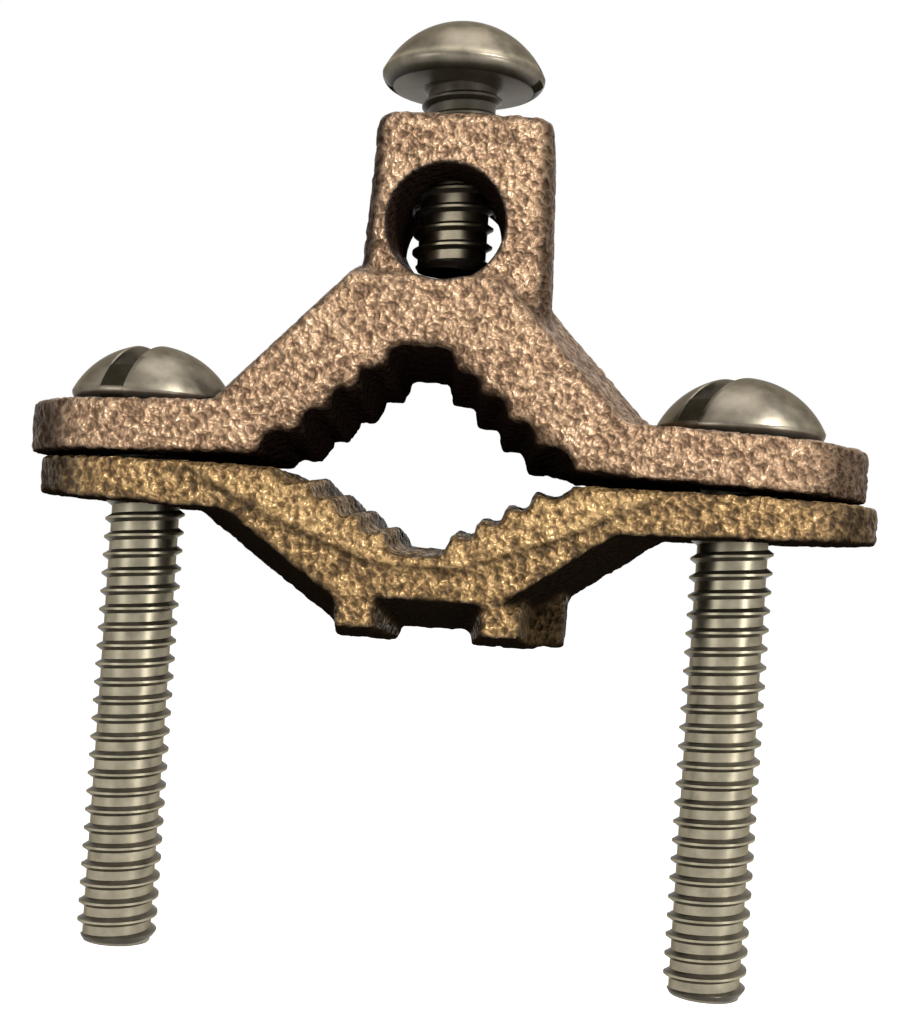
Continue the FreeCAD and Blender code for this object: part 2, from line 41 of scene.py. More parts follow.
# ---------------------------------------------------------------------------------------------
# Camera. It stands in front of the clamp, a little to its right and below the middle, and is
# rolled so that the clamp leans clockwise.
# ---------------------------------------------------------------------------------------------
camera_place = Vector((0.009144, -0.108163, -0.005311))
camera_right = Vector((0.992179, 0.104657, 0.068032))
camera_ahead = Vector((-0.105601, 0.994354, 0.010421))
camera_up = Vector((-0.066558, -0.017524, 0.997629))

camera_data = bpy.data.cameras.new("camera")
camera_data.sensor_width = 36.0
camera_data.lens = 55.416
camera_data.shift_x = 0.0512
camera_data.shift_y = 0.0277
camera_data.clip_start = 0.005
camera_data.clip_end = 20.0
camera = bpy.data.objects.new("camera", camera_data)
camera.matrix_world = Matrix.Translation(camera_place) @ Matrix(
    (camera_right, camera_up, -camera_ahead)
).transposed().to_4x4()
scene.collection.objects.link(camera)
scene.camera = camera


# ---------------------------------------------------------------------------------------------
# Upper jaw. A sand casting in tan bronze, with its corners worn by tumbling. The sand leaves a
# coarse grain over the whole skin, and only the seats under the screw heads and the drilled
# holes are smooth.
# ---------------------------------------------------------------------------------------------
SKIN_CELL = 0.00021
GRAIN_SIZE = 0.00042
GRAIN_HEIGHT = 0.00014
DRILLED_CALM = 0.0003
CORNER_WEIGHT = 0.5
CORNER_ROUNDS = 8
RIM_ROUNDS = 22
SHADING_BLUR_ROUNDS = 4
LATTICE_PRIMES = np.array([73856093, 19349663, 83492791])
SEED_FACTOR = 2654435
MIX_FACTOR = 1274126177


def lattice_noise(points, cell, seed):
    """Smooth noise from -1 to 1 at each point: random values on a cubic lattice, joined by an
    s-shaped blend along x, y and z. The random value of a lattice point is a hash of its three
    whole numbers and the seed."""
    scaled = points / cell
    corner = np.floor(scaled).astype(np.int64)
    part = scaled - corner
    blend = part * part * part * (part * (part * 6.0 - 15.0) + 10.0)
    total = np.zeros(len(points))
    for step in np.ndindex(2, 2, 2):
        spread = (corner + np.array(step)) * LATTICE_PRIMES
        mixed = np.bitwise_xor.reduce(spread, axis=1) ^ (seed * SEED_FACTOR)
        mixed = (mixed ^ (mixed >> 13)) * MIX_FACTOR
        value = ((mixed ^ (mixed >> 16)) & 0xFFFF) / 32767.5 - 1.0
        weight = np.prod(np.where(np.array(step) == 1, blend, 1.0 - blend), axis=1)
        total += weight * value
    return total


def read_rows(rows, label, width, kind=np.float64):
    """One value of every row of a mesh, such as all vertices' places, as an array."""
    values = np.empty(len(rows) * width, kind)
    rows.foreach_get(label, values)
    return values.reshape(-1, width)


def casting_mesh(node, name):
    """The node's solid as one closed skin of even small quads: the solid's own triangles are
    joined at their corners and wrapped again on a cubic grid."""
    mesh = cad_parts[node].data.copy()
    mesh.name = name
    shell = bmesh.new()
    shell.from_mesh(mesh)
    bmesh.ops.remove_doubles(shell, verts=shell.verts, dist=1e-7)
    shell.to_mesh(mesh)
    shell.free()
    casting = bpy.data.objects.new(name, mesh)
    scene.collection.objects.link(casting)
    remesh = casting.modifiers.new("skin", "REMESH")
    remesh.mode = "VOXEL"
    remesh.voxel_size = SKIN_CELL
    graph = bpy.context.evaluated_depsgraph_get()
    skin = bpy.data.meshes.new_from_object(casting.evaluated_get(graph))
    skin.name = name
    casting.modifiers.clear()
    casting.data = skin
    return casting


def soften(points, edges, weight, rounds):
    """Moves each point towards the mean of its neighbours along the edges, by its weight, once
    a round, which wears the corners down as tumbling does."""
    count = np.bincount(edges.ravel(), minlength=len(points))[:, None]
    for _ in range(rounds):
        total = np.stack(
            [
                np.bincount(edges[:, 0], points[edges[:, 1], k], len(points))
                + np.bincount(edges[:, 1], points[edges[:, 0], k], len(points))
                for k in range(3)
            ],
            axis=1,
        )
        points = points + weight[:, None] * (total / count - points)
    return points


def grain(points, seed):
    """Height of the sand grain from 0 to 1: a half, plus 0.30 of coarse and 0.65 of fine lattice
    noise, both read on a slightly bent grid so that the lattice doesn't show."""
    warp = np.stack([lattice_noise(points, GRAIN_SIZE * 2.3, seed + k) for k in (7, 8, 9)], axis=1)
    bent = points + warp * GRAIN_SIZE * 0.5
    coarse = lattice_noise(bent, GRAIN_SIZE * 1.5, seed)
    fine = lattice_noise(bent, GRAIN_SIZE, seed + 1)
    return np.clip(0.5 + 0.30 * coarse + 0.65 * fine, 0.0, 1.0)


def smooth_step(value, low, high):
    """0 below low, 1 above high, and an s-shaped rise between."""
    share = np.clip((value - low) / (high - low), 0.0, 1.0)
    return share * share * (3.0 - 2.0 * share)


def cast_skin(node, name, calm, rim, paint_light_and_shade, seed):
    """The node's skin with corners rounded by tumbling, and sand grain. calm gives, for each
    point, how much of the grain it keeps, from 0 on smooth faces to 1 on the raw casting. rim
    gives, from 0 to 1, where the edges are rounded the most. The fifth argument gives, from
    points and normals, the painted light and shade: 1 where the colour shows fully lit, down to
    0 for black painted shade. Three attributes hold these for the material: grain is the grain's
    height, raised where some of it is lost; raw is 1 where at least half of it is kept; and the
    third holds the painted light and shade, blurred a little."""
    casting = casting_mesh(node, name)
    mesh = casting.data
    edges = read_rows(mesh.edges, "vertices", 2, np.int64)
    points = read_rows(mesh.vertices, "co", 3)
    keep = calm(points)
    rim_weight = CORNER_WEIGHT * keep * rim(points)
    points = soften(points, edges, CORNER_WEIGHT * keep, CORNER_ROUNDS)
    points = soften(points, edges, rim_weight, RIM_ROUNDS)
    mesh.vertices.foreach_set("co", points.ravel())
    mesh.update()

    normals = read_rows(mesh.vertices, "normal", 3)
    height = grain(points, seed)
    everywhere = np.full(len(points), CORNER_WEIGHT)
    # Painted light and shade from the points and normals, softened a little along the edges.
    painted_light = soften(paint_light_and_shade(points, normals)[:, None].repeat(3, 1), edges, everywhere, SHADING_BLUR_ROUNDS)
    points = points + normals * ((height - 1.0) * GRAIN_HEIGHT * keep)[:, None]
    mesh.vertices.foreach_set("co", points.ravel())
    raw = np.minimum(keep * 2.0, 1.0)
    for label, values in (("grain", height + raw - keep), ("raw", raw), ("painted_light", painted_light[:, 0])):
        mesh.attributes.new(label, "FLOAT", "POINT").data.foreach_set("value", values)
    mesh.shade_smooth()
    mesh.update()
    return casting


def attribute(tree, name):
    """The piece's own attribute as a socket."""
    node = tree.nodes.new("ShaderNodeAttribute")
    node.attribute_name = name
    return node.outputs["Fac"]


def noise(tree, scale, detail):
    """Noise texture on Object coordinates."""
    place = tree.nodes.new("ShaderNodeTexCoord")
    texture = tree.nodes.new("ShaderNodeTexNoise")
    texture.inputs["Scale"].default_value = scale
    texture.inputs["Detail"].default_value = detail
    tree.links.new(place.outputs["Object"], texture.inputs["Vector"])
    return texture


def three_tones(tree, value, low, middle, high):
    """Colour of a ramp through three stops, each a position and a colour."""
    ramp = tree.nodes.new("ShaderNodeValToRGB")
    stops = ramp.color_ramp.elements
    for stop, (position, colour) in zip(stops, (low, high)):
        stop.position = position
        stop.color = (*colour, 1.0)
    stops.new(middle[0]).color = (*middle[1], 1.0)
    tree.links.new(value, ramp.inputs["Fac"])
    return ramp.outputs["Color"]


def carried(tree, value, span, onto):
    """The value with one span carried in a straight line onto another, and held at its ends."""
    reach = tree.nodes.new("ShaderNodeMapRange")
    for label, amount in zip(("From Min", "From Max", "To Min", "To Max"), (*span, *onto)):
        reach.inputs[label].default_value = amount
    tree.links.new(value, reach.inputs["Value"])
    return reach.outputs["Result"]


def covered(tree, under, cover, share):
    """A plain colour, covered by another colour's socket as far as the share says."""
    mix = tree.nodes.new("ShaderNodeMix")
    mix.data_type = "RGBA"
    mix.inputs["A"].default_value = (*under, 1.0)
    tree.links.new(share, mix.inputs["Factor"])
    tree.links.new(cover, mix.inputs["B"])
    return mix.outputs["Result"]


SAND_SCALE = 2350.0
SAND_PIT, SAND_BODY, SAND_CREST = 0.46, 0.63, 0.86
SAND_RELIEF = 0.00080
GRAIN_SHARE = 0.30
PATCH_SCALE = 260.0
PATCH_TINT = (0.90, 0.86, 0.80)
# Below this share of painted light the casting has no gloss: painted shade stays matt.
SHADE_WITHOUT_GLOSS = 0.08
PIT_ROUGH, CREST_ROUGH = 0.65, 0.30


def cast_bronze(name, pit, body, crest, painted_shade, smooth):
    """Node material for a casting. A noise of the sand's size, helped by the grain's height, runs
    the colour from the pit's through the body's to the crest's, and larger patches dull it a
    little. Where the painted light attribute falls to 0 the colour goes to a near-black painted
    shade, and smooth faces, in the holes and on the seats, take a near-black painted shade of
    their own. The painted light also brings the metal's gloss, so painted shade stays matt;
    crests are glossier than pits, and the noise also makes the bump."""
    material = bpy.data.materials.new(name)
    material.use_nodes = True
    tree = material.node_tree
    shader = tree.nodes["Principled BSDF"]
    painted_light = attribute(tree, "painted_light")

    sand = noise(tree, SAND_SCALE, 1.2)
    sand.inputs["Roughness"].default_value = 0.45
    sand.inputs["Distortion"].default_value = 0.15
    mixed = tree.nodes.new("ShaderNodeMath")
    mixed.operation = "MULTIPLY_ADD"
    mixed.inputs[1].default_value = GRAIN_SHARE
    tree.links.new(attribute(tree, "grain"), mixed.inputs[0])
    tree.links.new(sand.outputs["Fac"], mixed.inputs[2])
    level = mixed.outputs[0]

    metal = three_tones(tree, level, (SAND_PIT, pit), (SAND_BODY, body), (SAND_CREST, crest))
    tint = tree.nodes.new("ShaderNodeMix")
    tint.data_type = "RGBA"
    tint.blend_type = "MULTIPLY"
    tint.inputs["B"].default_value = (*PATCH_TINT, 1.0)
    tree.links.new(noise(tree, PATCH_SCALE, 2.0).outputs["Fac"], tint.inputs["Factor"])
    tree.links.new(metal, tint.inputs["A"])
    # The colour goes to near-black painted shade where the painted light is low, and smooth faces
    # in the holes and on the seats get near-black painted shade too.
    lit_or_shaded = covered(tree, painted_shade, tint.outputs["Result"], painted_light)
    skin = covered(tree, smooth, lit_or_shaded, attribute(tree, "raw"))
    tree.links.new(skin, shader.inputs["Base Color"])

    # Metallic and specular follow the painted light, so painted shade shows no reflection.
    for label, most in (("Metallic", 0.40), ("Specular IOR Level", 0.50)):
        gloss = carried(tree, painted_light, (SHADE_WITHOUT_GLOSS, 1.0), (0.0, most))
        tree.links.new(gloss, shader.inputs[label])
    rough = carried(tree, level, (SAND_PIT, SAND_CREST), (PIT_ROUGH, CREST_ROUGH))
    tree.links.new(rough, shader.inputs["Roughness"])

    bump = tree.nodes.new("ShaderNodeBump")
    bump.inputs["Strength"].default_value = 1.0
    bump.inputs["Distance"].default_value = SAND_RELIEF
    tree.links.new(sand.outputs["Fac"], bump.inputs["Height"])
    tree.links.new(bump.outputs["Normal"], shader.inputs["Normal"])
    return material


SCREW_X = 0.0203
SEAT_Z = 0.00382
SEAT_RADIUS = 0.006025
SEAT_SKIN = 0.0004
EAR_HOLE_RADIUS = 0.00345
WIRE_HOLE_Z = 0.01655
WIRE_HOLE_RADIUS = 0.00335
WIRE_HOLE_LEAN = 0.0787
TAPPED_RADIUS = 0.0028
CUT_EDGE = 0.00005


def off_wire_hole(points):
    """How far a point lies outside the wire hole's wall, negative in the hole: the distance from
    its axis less the wall's radius, which grows from the middle to both faces."""
    x, y, z = points.T
    return np.hypot(x, z - WIRE_HOLE_Z) - WIRE_HOLE_RADIUS - np.abs(y) * WIRE_HOLE_LEAN


def upper_calm(points):
    """0 on the seats, in the ear holes, in the post's tapped hole and in the wire hole, rising
    to 1 on the raw casting over a short distance from their edges."""
    x, y, z = points.T
    from_screw = np.hypot(np.abs(x) - SCREW_X, y)
    seat = np.where(z > SEAT_Z - SEAT_SKIN, from_screw - SEAT_RADIUS, 1.0)
    ear_hole = from_screw - EAR_HOLE_RADIUS
    tapped = np.where(z > WIRE_HOLE_Z, np.hypot(x, y) - TAPPED_RADIUS, 1.0)
    nearest = np.minimum.reduce([seat, ear_hole, tapped, np.abs(off_wire_hole(points))])
    return np.clip((nearest - CUT_EDGE) / DRILLED_CALM, 0.0, 1.0)


UPPER_VEE = {
    "middle": -0.0009,
    "tip_half": 0.0014,
    "tip_height": 0.0067,
    "slope": np.radians(39.3),
    "lean": 0.191,
}
RIM_BAND = (0.0073, 0.0081)
UPPER_RIM_REACH = (0.0009, 0.0016)


def vee_depth(points, middle, tip_half, tip_height, slope, lean):
    """How far inside a vee a point lies, negative outside: the least of its distances to the
    flat tip and to the flank on its side, both of which move out with the distance from the
    middle plane."""
    x, y, z = points.T
    out = np.abs(y) * lean
    across = np.abs(x - middle) - tip_half
    height = z - tip_height
    flank = across * np.sin(slope) + height * np.cos(slope)
    return np.minimum(out - height, out - flank)


def upper_rim(points):
    """1 on the vee's edges at the front and back faces, 0 a little way in."""
    depth = np.abs(vee_depth(points, **UPPER_VEE))
    near = 1.0 - smooth_step(depth, *UPPER_RIM_REACH)
    return near * smooth_step(np.abs(points[:, 1]), *RIM_BAND)


# Levels of the jaws' painted light and shade: sides and tops get part of the lit colour; faces
# turned down, the vee and the wire hole get painted shade.
FACE_TURN = (0.72, 0.97)
SIDE_PAINTED_LIGHT = 0.16
TOP_PAINTED_LIGHT = 0.30
UPPER_TOP_TURN = (0.3, 0.9)
UPPER_UNDER_TURN = (0.5, 0.9)
UNDER_PAINTED_SHADE = 0.85
VEE_SKIN = (-0.0002, 0.0)
VEE_EDGE_BAND = (0.0077, 0.0083)
VEE_EDGE_PAINTED_LIGHT = 0.55
BORE_SKIN = (-0.0001, 0.0001)


def upper_painted_shading(points, normals):
    """Painted light and shade: fully lit on the front and back faces, half lit on the vee's edges,
    less on the sides and a little more on faces turned up, hardly lit on the faces turned down,
    and black painted shade in the vee and the wire hole."""
    facing = smooth_step(np.abs(normals[:, 1]), *FACE_TURN)
    up = normals[:, 2]
    side = SIDE_PAINTED_LIGHT + TOP_PAINTED_LIGHT * smooth_step(up, *UPPER_TOP_TURN)
    side = side * (1.0 - UNDER_PAINTED_SHADE * smooth_step(-up, *UPPER_UNDER_TURN))
    inside = smooth_step(vee_depth(points, **UPPER_VEE), *VEE_SKIN)
    edge = smooth_step(np.abs(points[:, 1]), *VEE_EDGE_BAND)
    side = side * (1.0 - inside) + VEE_EDGE_PAINTED_LIGHT * inside * edge
    side = side * (1.0 - smooth_step(-off_wire_hole(points), *BORE_SKIN))
    return side + (1.0 - side) * facing


# The last two colours are near-black painted shade: the first where the painted light is low, the
# second on the smooth faces in the holes and on the seats.
TAN_BRONZE = {
    "pit": (0.175, 0.101, 0.054),
    "body": (0.37, 0.229, 0.131),
    "crest": (0.60, 0.392, 0.238),
    "painted_shade": (0.012, 0.007, 0.005),
    "smooth": (0.018, 0.010, 0.007),
}

upper_jaw = cast_skin("upper_jaw", "upper_jaw_casting", upper_calm, upper_rim, upper_painted_shading, 11)
upper_jaw.data.materials.clear()
upper_jaw.data.materials.append(cast_bronze("tan_cast_bronze", **TAN_BRONZE))
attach(upper_jaw, "upper_jaw")
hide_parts("upper_jaw")


# ---------------------------------------------------------------------------------------------
# Lower jaw. The second sand casting, in a more golden bronze, with a smoother lip along the
# vee and a stub of the casting's gate below. Its two ears are tapped for the clamp screws.
# ---------------------------------------------------------------------------------------------
LOWER_VEE = {
    "middle": -0.0003,
    "tip_half": 0.0016,
    "tip_height": 0.0045,
    "slope": np.radians(30.0),
    "lean": 0.070,
}
LOWER_RIM_REACH = (0.0002, 0.0007)
LIP_FACE = 0.00865
LIP_GRAIN = 0.55
# A thin painted shadow under the lip's step, and the band within which the gate stub's face is
# painted in shade like the sides.
LIP_SHADOW_SPREAD = 0.0001
LIP_PAINTED_SHADOW = 0.6
GATE_FACE = (0.0035, 0.0055)
LOWER_TOP_TURN = (0.1, 0.6)
LOWER_UNDER_TURN = (0.15, 0.6)


def lower_calm(points):
    """0 in the tapped holes, about a half on the proud lip, 1 on the rest."""
    x, y, _ = points.T
    tapped = np.hypot(np.abs(x) - SCREW_X, y) - TAPPED_RADIUS
    keep = np.clip((tapped - CUT_EDGE) / DRILLED_CALM, 0.0, 1.0)
    return np.where(np.abs(y) > LIP_FACE, LIP_GRAIN * keep, keep)


def lower_rim(points):
    """1 inside the vee and on its edges at the front and back faces, 0 a little way below the
    vee and away from those faces. The vee's depth is read upside down."""
    depth = vee_depth(points * (1, 1, -1), **LOWER_VEE)
    near = 1.0 - smooth_step(-depth, *LOWER_RIM_REACH)
    return near * smooth_step(np.abs(points[:, 1]), *RIM_BAND)


def lower_painted_shading(points, normals):
    """Painted light and shade: fully lit on the front and back faces but for a painted shadow line
    along the lip's step, less lit on the gate stub, on the faces turned up and on the sides, and
    black painted shade underneath."""
    out = np.abs(points[:, 1])
    up = normals[:, 2]
    facing = smooth_step(np.abs(normals[:, 1]), *FACE_TURN) * smooth_step(out, *GATE_FACE)
    facing = facing * (1.0 - LIP_PAINTED_SHADOW * np.exp(-(((out - LIP_FACE) / LIP_SHADOW_SPREAD) ** 2)))
    side = SIDE_PAINTED_LIGHT + TOP_PAINTED_LIGHT * smooth_step(up, *LOWER_TOP_TURN)
    side = side * (1.0 - smooth_step(-up, *LOWER_UNDER_TURN))
    return side + (1.0 - side) * facing


# The last two colours are near-black painted shade: the first where the painted light is low, the
# second on the smooth faces in the holes and on the seats.
GOLDEN_BRONZE = {
    "pit": (0.095, 0.053, 0.017),
    "body": (0.245, 0.143, 0.050),
    "crest": (0.52, 0.330, 0.137),
    "painted_shade": (0.012, 0.008, 0.005),
    "smooth": (0.018, 0.011, 0.006),
}

lower_jaw = cast_skin("lower_jaw", "lower_jaw_casting", lower_calm, lower_rim, lower_painted_shading, 23)
lower_jaw.data.materials.clear()
lower_jaw.data.materials.append(cast_bronze("golden_cast_bronze", **GOLDEN_BRONZE))
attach(lower_jaw, "lower_jaw")
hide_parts("lower_jaw")


# ---------------------------------------------------------------------------------------------
# Clamp screws. Two slotted round-head machine screws in satin plated steel, cold headed and
# with rolled threads. They hang in the upper ears and draw the lower ears up.
# ---------------------------------------------------------------------------------------------
PITCH = 0.00127
CREST_RADIUS = 0.00275
ROOT_RADIUS = 0.00235
CREST_FLAT = 0.12
ROOT_FLAT = 0.48
CORNER_EASE = 0.06
TIP_CHAMFER = 0.0009
TIP_SLOPE = 0.62
THREAD_COLUMNS = 72


def thread_radius(phase):
    """Radius of the thread at a share of one pitch: flat crest, straight flank, flat root and
    straight flank, with the corners eased."""
    away = np.abs((phase + 0.5) % 1.0 - 0.5) * 2.0
    share = np.clip((away - CREST_FLAT) / (1.0 - ROOT_FLAT - CREST_FLAT), 0.0, 1.0)
    eased = share + CORNER_EASE * np.sin(2.0 * np.pi * share) / np.pi
    return CREST_RADIUS + (ROOT_RADIUS - CREST_RADIUS) * eased


def threaded_shank(bottom, top):
    """Closed threaded rod from bottom to top along z. Every ring of the grid climbs one pitch
    as it goes round, so the crests follow the grid, and the lower end is turned to a cone. The
    rings of a pitch stand close where the profile bends, and their second half mirrors the
    first."""
    half_pitch = np.array([0.0, 0.03, 0.06, 0.10, 0.15, 0.20, 0.235, 0.26, 0.30, 0.40])
    steps = np.concatenate([half_pitch, [0.5], 1.0 - half_pitch[:0:-1]])
    turns = int(np.ceil((top - bottom) / PITCH)) + 3
    phase = (np.arange(turns)[:, None] + steps[None, :]).ravel()
    angle = np.linspace(0.0, 2.0 * np.pi, THREAD_COLUMNS + 1)
    climb = angle[None, :] / (2.0 * np.pi)
    z = bottom - 1.5 * PITCH + (phase[:, None] + climb) * PITCH
    radius = np.repeat(thread_radius(phase)[:, None], THREAD_COLUMNS + 1, axis=1)
    rise = np.maximum((z - bottom) / TIP_CHAMFER, 0.0)
    cone = CREST_RADIUS - TIP_CHAMFER / 2.0 + rise * TIP_CHAMFER * TIP_SLOPE
    radius = np.minimum(radius, cone)
    points = np.stack([radius * np.cos(angle), radius * np.sin(angle), z], axis=2)

    rows = len(phase)
    per_turn = len(steps)
    index = np.arange(rows * THREAD_COLUMNS).reshape(rows, THREAD_COLUMNS)
    ahead = np.concatenate([index[:, 1:], np.roll(index[:, :1], -per_turn, axis=0)], axis=1)
    last = rows - per_turn
    quads = np.stack(
        [index[: last - 1], ahead[: last - 1], ahead[1:last], index[1:last]], axis=2
    ).reshape(-1, 4)
    return points[:, :THREAD_COLUMNS].reshape(-1, 3), quads


def cut_level(shell, height, below):
    """Cuts the shell flat at a height, drops what is below it or above it, and caps the cut."""
    geometry = shell.verts[:] + shell.edges[:] + shell.faces[:]
    bmesh.ops.bisect_plane(
        shell, geom=geometry, dist=1e-8, plane_co=(0, 0, height), plane_no=(0, 0, 1),
        clear_inner=below, clear_outer=not below,
    )
    rim = [
        edge
        for edge in shell.edges
        if edge.is_boundary and all(abs(v.co.z - height) < 1e-7 for v in edge.verts)
    ]
    bmesh.ops.holes_fill(shell, edges=rim, sides=0)


HEAD_RADIUS = 0.005625
HEAD_HEIGHT = 0.0045
HEAD_EDGE = 0.0009
RIM_ROUND = 0.0010
SLOT_WIDTH = 0.0017
SLOT_DEPTH = 0.0019
SLOT_LIP = 0.00010
SLOT_LIP_DROP = 0.00009
HEAD_COLUMNS = 26
HEAD_ROWS = 61
RIM_RINGS = 6


def slotted_head():
    """Closed slotted head, standing on z = 0. Columns run across the head and rows along the
    slot; the height is the dome's, a sphere's cap on an upright edge, and in the slot's columns
    it is no more than the slot's floor. Below it, rings follow a quarter of an ellipse down
    and in to the seat."""
    dome = HEAD_HEIGHT - HEAD_EDGE
    ball = (HEAD_RADIUS**2 + dome**2) / (2.0 * dome)
    half = SLOT_WIDTH / 2.0
    side = np.arcsin((half + SLOT_LIP) / HEAD_RADIUS)
    sweep = np.sin(np.linspace(side, np.pi / 2.0, HEAD_COLUMNS)) * HEAD_RADIUS
    inner = np.array([-0.999, -0.5, 0.0, 0.5, 0.999]) * half
    x = np.concatenate([-sweep[::-1], [-half], inner, [half], sweep])
    v = np.sin(np.linspace(-np.pi / 2.0, np.pi / 2.0, HEAD_ROWS))
    reach = np.sqrt(np.clip(HEAD_RADIUS**2 - x**2, 0.0, None))
    xs = np.repeat(x[:, None], len(v), axis=1)
    ys = reach[:, None] * v[None, :]
    out = np.hypot(xs, ys)
    z = HEAD_EDGE + np.sqrt(ball**2 - np.minimum(out, HEAD_RADIUS) ** 2) - (ball - dome)
    z[np.abs(x) == half] -= SLOT_LIP_DROP
    floor = HEAD_HEIGHT - SLOT_DEPTH
    z = np.where(np.abs(x)[:, None] < half, np.minimum(z, floor), z)
    z = np.maximum(z, HEAD_EDGE)
    grid = np.stack([xs, ys, z], axis=2)

    columns, rows = grid.shape[:2]
    index = np.arange(columns * rows).reshape(columns, rows)
    quads = np.stack([index[:-1, :-1], index[1:, :-1], index[1:, 1:], index[:-1, 1:]], axis=2)
    loop = np.concatenate([index[:, 0], index[-1, 1:], index[-2::-1, -1], index[0, -2:0:-1]])
    points = [grid.reshape(-1, 3)]
    faces = [quads.reshape(-1, 4)]
    base = points[0][loop]
    start = len(points[0])
    above = loop
    for turn in np.linspace(0.0, np.pi / 2.0, RIM_RINGS + 1)[1:]:
        shrink = (HEAD_RADIUS - RIM_ROUND * (1.0 - np.cos(turn))) / HEAD_RADIUS
        ring = base * np.array([shrink, shrink, 0.0])
        ring[:, 2] = HEAD_EDGE * (1.0 - np.sin(turn))
        here = start + np.arange(len(loop))
        faces.append(np.stack([above, here, np.roll(here, -1), np.roll(above, -1)], axis=1))
        points.append(ring)
        start += len(loop)
        above = here
    return np.concatenate(points), np.concatenate(faces), above


# Levels and bands of the screws' painted light: painted highlights on the crests and in a ring
# above the head's rim, painted reflection in the roots, painted shade on the flanks and neck.
CREST_SHARE = (0.7, 0.95)
ROOT_SHARE = (0.02, 0.2)
ROOT_SHINE = 0.85
FLANK_SHINE = 0.12
TIP_EDGE = 0.0001
NECK = (-0.0050, -0.0044)
NECK_PAINTED_SHADE = 0.8
DOME_SHINE = 0.5
RING_SHINE = 0.22
RING_RISE = 0.00025
RING_SPREAD = 0.0002


def screw_shine_and_shade(points, length, turn):
    """How much painted light the plating has: 1, a painted highlight, on the thread's crests,
    nearly as much, a painted reflection, in its flat roots, a half on the head's dome and a little
    more in a painted highlight ring above its rim, falling low, as painted shade, on the thread's
    flanks and neck, and to 0, dark painted shade, in the slot, on the flat tip and under the head."""
    x, y, z = points.T
    from_axis = np.hypot(x, y)
    share = (from_axis - ROOT_RADIUS) / (CREST_RADIUS - ROOT_RADIUS)
    roots = ROOT_SHINE * (1.0 - smooth_step(share, *ROOT_SHARE))
    shank = np.maximum(smooth_step(share, *CREST_SHARE), roots)
    shank = np.maximum(shank, FLANK_SHINE) * smooth_step(z, -length, -length + TIP_EDGE)
    # Painted shade on the thread's top under the head, which stays with the screw when it is
    # raised.
    shank = shank * (1.0 - NECK_PAINTED_SHADE * smooth_step(z, *NECK))
    across = np.abs(x * np.cos(turn) + y * np.sin(turn))
    floor = z < HEAD_HEIGHT - SLOT_DEPTH + 0.00005
    in_slot = (across < SLOT_WIDTH / 2.0 * 1.01) & floor & (from_axis < HEAD_RADIUS * 0.99)
    ring = RING_SHINE * np.exp(-(((z - HEAD_EDGE - RING_RISE) / RING_SPREAD) ** 2))
    head = (DOME_SHINE * smooth_step(z, 0.0, HEAD_EDGE) + ring) * np.where(in_slot, 0.0, 1.0)
    return np.where(z > 0.00001, head, shank)


SHANK_OVERLAP = 0.0003


def round_head_screw(name, length, turn, x, z):
    """One screw as a single mesh in its place: the head on its seat, turned about z, and the
    shank below it, which reaches a little way up into the head."""
    head, head_faces, rim = slotted_head()
    mesh = bpy.data.meshes.new(name)
    mesh.from_pydata(head, [], head_faces.tolist() + [rim[::-1].tolist()])
    shell = bmesh.new()
    shell.from_mesh(mesh)
    bmesh.ops.remove_doubles(shell, verts=shell.verts, dist=2e-7)
    bmesh.ops.rotate(shell, verts=shell.verts, cent=(0, 0, 0), matrix=Matrix.Rotation(turn, 3, "Z"))
    bmesh.ops.recalc_face_normals(shell, faces=shell.faces)

    points, quads = threaded_shank(-length, SHANK_OVERLAP)
    part = bpy.data.meshes.new(name + "_shank")
    part.from_pydata(points, [], quads.tolist())
    rod = bmesh.new()
    rod.from_mesh(part)
    cut_level(rod, -length, True)
    cut_level(rod, SHANK_OVERLAP, False)
    bmesh.ops.recalc_face_normals(rod, faces=rod.faces)
    rod.to_mesh(part)
    rod.free()
    shell.from_mesh(part)
    bpy.data.meshes.remove(part)
    shell.to_mesh(mesh)
    shell.free()

    points = read_rows(mesh.vertices, "co", 3)
    painted_shine = mesh.attributes.new("painted_shine", "FLOAT", "POINT")
    painted_shine.data.foreach_set("value", screw_shine_and_shade(points, length, turn))
    mesh.vertices.foreach_set("co", (points + (x, 0.0, z)).ravel())
    mesh.update()
    mesh.shade_smooth()
    mesh.set_sharp_from_angle(angle=np.radians(40.0))
    screw = bpy.data.objects.new(name, mesh)
    scene.collection.objects.link(screw)
    return screw


# The first colour is near-black painted shade, where the screw's painted light is 0.
STEEL_PAINTED_SHADE = (0.026, 0.022, 0.014)
STEEL_DOME = (0.180, 0.156, 0.120)
STEEL_TINT = (0.52, 0.49, 0.43)
BLOTCH_SCALE = 900.0
BLOTCH_SHADE = (0.75, 1.2)
BLOTCH_ROUGH = (0.22, 0.46)
GLOSS_RISE = 2.5


